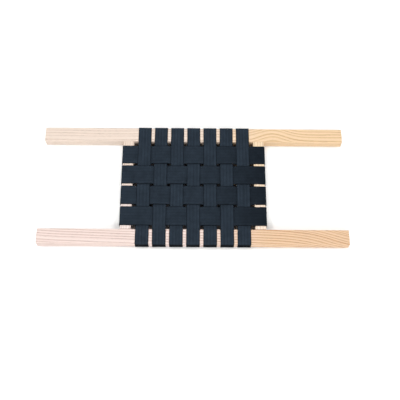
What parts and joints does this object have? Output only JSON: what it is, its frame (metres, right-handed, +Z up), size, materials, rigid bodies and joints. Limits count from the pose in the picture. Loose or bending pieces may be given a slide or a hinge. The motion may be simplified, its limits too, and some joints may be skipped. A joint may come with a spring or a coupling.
{
  "type": "webbed seat frame",
  "caption": "Flat wooden seat frame: two long rails joined by two cross rails, with flat dark webbing woven over and under between them and wrapped round the rails.",
  "frame": {"origin": "middle of the footprint, on the plane that the undersides of the rail ends stand on", "axes": "+X along the long rails, to the right seen from the front; +Y from the front rail to the back rail; +Z up through the webbing"},
  "size_m": [0.582, 0.2436, 0.0203],
  "materials": {
    "rail_wood": "planed ash, bare or thinly oiled, satin",
    "dowel_wood": "turned beech dowel, bare",
    "webbing": "woven synthetic webbing, dark charcoal, matt with a faint lengthwise rib",
    "staple_steel": "galvanised flat wire"
  },
  "bodies": {
    "root": {"back_rail": "rail_wood", "front_rail": "rail_wood", "left_cross_rail": "rail_wood", "right_cross_rail": "rail_wood", "dowels_back_left": "dowel_wood", "dowels_back_right": "dowel_wood", "dowels_front_left": "dowel_wood", "dowels_front_right": "dowel_wood", "warp_strap_1": "webbing", "warp_strap_2": "webbing", "warp_strap_3": "webbing", "warp_strap_4": "webbing", "warp_strap_5": "webbing", "warp_strap_6": "webbing", "warp_strap_7": "webbing", "weft_strap_1": "webbing", "weft_strap_2": "webbing", "weft_strap_3": "webbing", "weft_strap_4": "webbing", "staples_back_rail": "staple_steel", "staples_front_rail": "staple_steel", "staples_left_cross_rail": "staple_steel", "staples_right_cross_rail": "staple_steel"}
  },
  "joints": []
}
